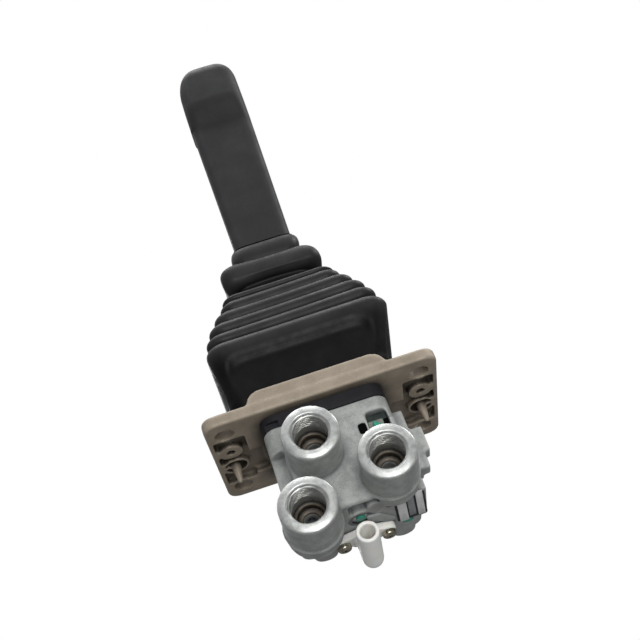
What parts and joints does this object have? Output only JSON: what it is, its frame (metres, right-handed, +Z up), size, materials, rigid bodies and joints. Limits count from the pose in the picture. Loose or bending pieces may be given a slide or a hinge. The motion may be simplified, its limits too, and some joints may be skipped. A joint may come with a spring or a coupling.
{
  "type": "lever pilot valve",
  "caption": "Panel-mounted lever pilot valve: a hooked hand lever in a rubber boot rocks two plungers over a ported valve body with a vent elbow.",
  "frame": {"origin": "centre of the four panel holes, on the underside of the mounting plate", "axes": "+Z up the lever, +X along the plate's long side, -Y towards the three threaded ports"},
  "size_m": [0.1046, 0.088, 0.2988],
  "materials": {
    "passivated_zinc": "yellow-passivated zinc die casting, slightly grained",
    "black_nylon": "moulded glass-filled nylon, fine sparked texture",
    "cast_zinc": "grey pressure die casting, satin grain",
    "zinc_plated_steel": "bright zinc plate",
    "ground_steel": "ground and polished",
    "spring_steel": "oiled spring steel",
    "bronze": "sintered bronze",
    "nbr_rubber": "moulded nitrile rubber",
    "machined_aluminium": "turned",
    "natural_nylon": "natural injection-moulded nylon, slightly translucent",
    "nickel_steel": "nickel-plated",
    "teal_acetal": "teal moulded acetal",
    "boot_rubber": "semi-gloss moulded rubber",
    "grip_polymer": "fine matt moulded polymer"
  },
  "bodies": {
    "housing": {"mounting_plate": "passivated_zinc", "pivot_housing": "black_nylon", "valve_body": "cast_zinc", "body_screws": "zinc_plated_steel", "pivot_pin": "ground_steel", "pin_clips": "spring_steel", "plunger_guides": "bronze", "plunger_seals": "nbr_rubber", "chamber_seals": "nbr_rubber", "spring_cap_front": "machined_aluminium", "spring_cap_rear": "machined_aluminium", "cap_seals": "nbr_rubber", "cap_rings": "spring_steel", "vent_elbow": "natural_nylon", "vent_screws": "nickel_steel", "vent_seal": "nbr_rubber", "gallery_plugs": "machined_aluminium", "core_plugs": "teal_acetal", "port_seat_rings": "bronze", "boot": "boot_rubber", "regulating_spring_front": "spring_steel", "regulating_spring_rear": "spring_steel", "return_spring_front": "spring_steel", "return_spring_rear": "spring_steel"},
    "lever": {"rocker": "zinc_plated_steel", "rocker_bushes": "bronze", "lever_stem": "zinc_plated_steel", "stem_locknut": "zinc_plated_steel", "grip": "grip_polymer", "grip_locknut": "zinc_plated_steel"},
    "front_plunger": {"plunger_front": "ground_steel", "spring_seat_front": "zinc_plated_steel"},
    "rear_plunger": {"plunger_rear": "ground_steel", "spring_seat_rear": "zinc_plated_steel"},
    "front_spool": {"spool_front": "machined_aluminium"},
    "rear_spool": {"spool_rear": "machined_aluminium"}
  },
  "joints": [
    {"name": "lever_rock", "type": "hinge", "parent": "housing", "child": "lever", "pos_m": [0, 0, 0.02], "axis": [1, 0, 0], "range_deg": [-20, 20], "stiffness_Nm_per_rad": 6, "deforming": ["boot"]},
    {"name": "front_plunger_slide", "type": "slide", "parent": "housing", "child": "front_plunger", "axis": [0, 0, 1], "range_m": [-0.0045, 0.0045], "deforming": ["regulating_spring_front"]},
    {"name": "rear_plunger_slide", "type": "slide", "parent": "housing", "child": "rear_plunger", "axis": [0, 0, 1], "range_m": [-0.0045, 0.0045], "deforming": ["regulating_spring_rear"]},
    {"name": "front_spool_slide", "type": "slide", "parent": "housing", "child": "front_spool", "axis": [0, 0, 1], "range_m": [-0.0012, 0.0012], "deforming": ["return_spring_front"]},
    {"name": "rear_spool_slide", "type": "slide", "parent": "housing", "child": "rear_spool", "axis": [0, 0, 1], "range_m": [-0.0012, 0.0012], "deforming": ["return_spring_rear"]}
  ],
  "couplings": [
    {"joint": "front_plunger_slide", "follows": "lever_rock", "m_per_rad": -0.01224},
    {"joint": "rear_plunger_slide", "follows": "lever_rock", "m_per_rad": 0.01224},
    {"joint": "front_spool_slide", "follows": "lever_rock", "m_per_rad": -0.00315},
    {"joint": "rear_spool_slide", "follows": "lever_rock", "m_per_rad": 0.00315}
  ]
}
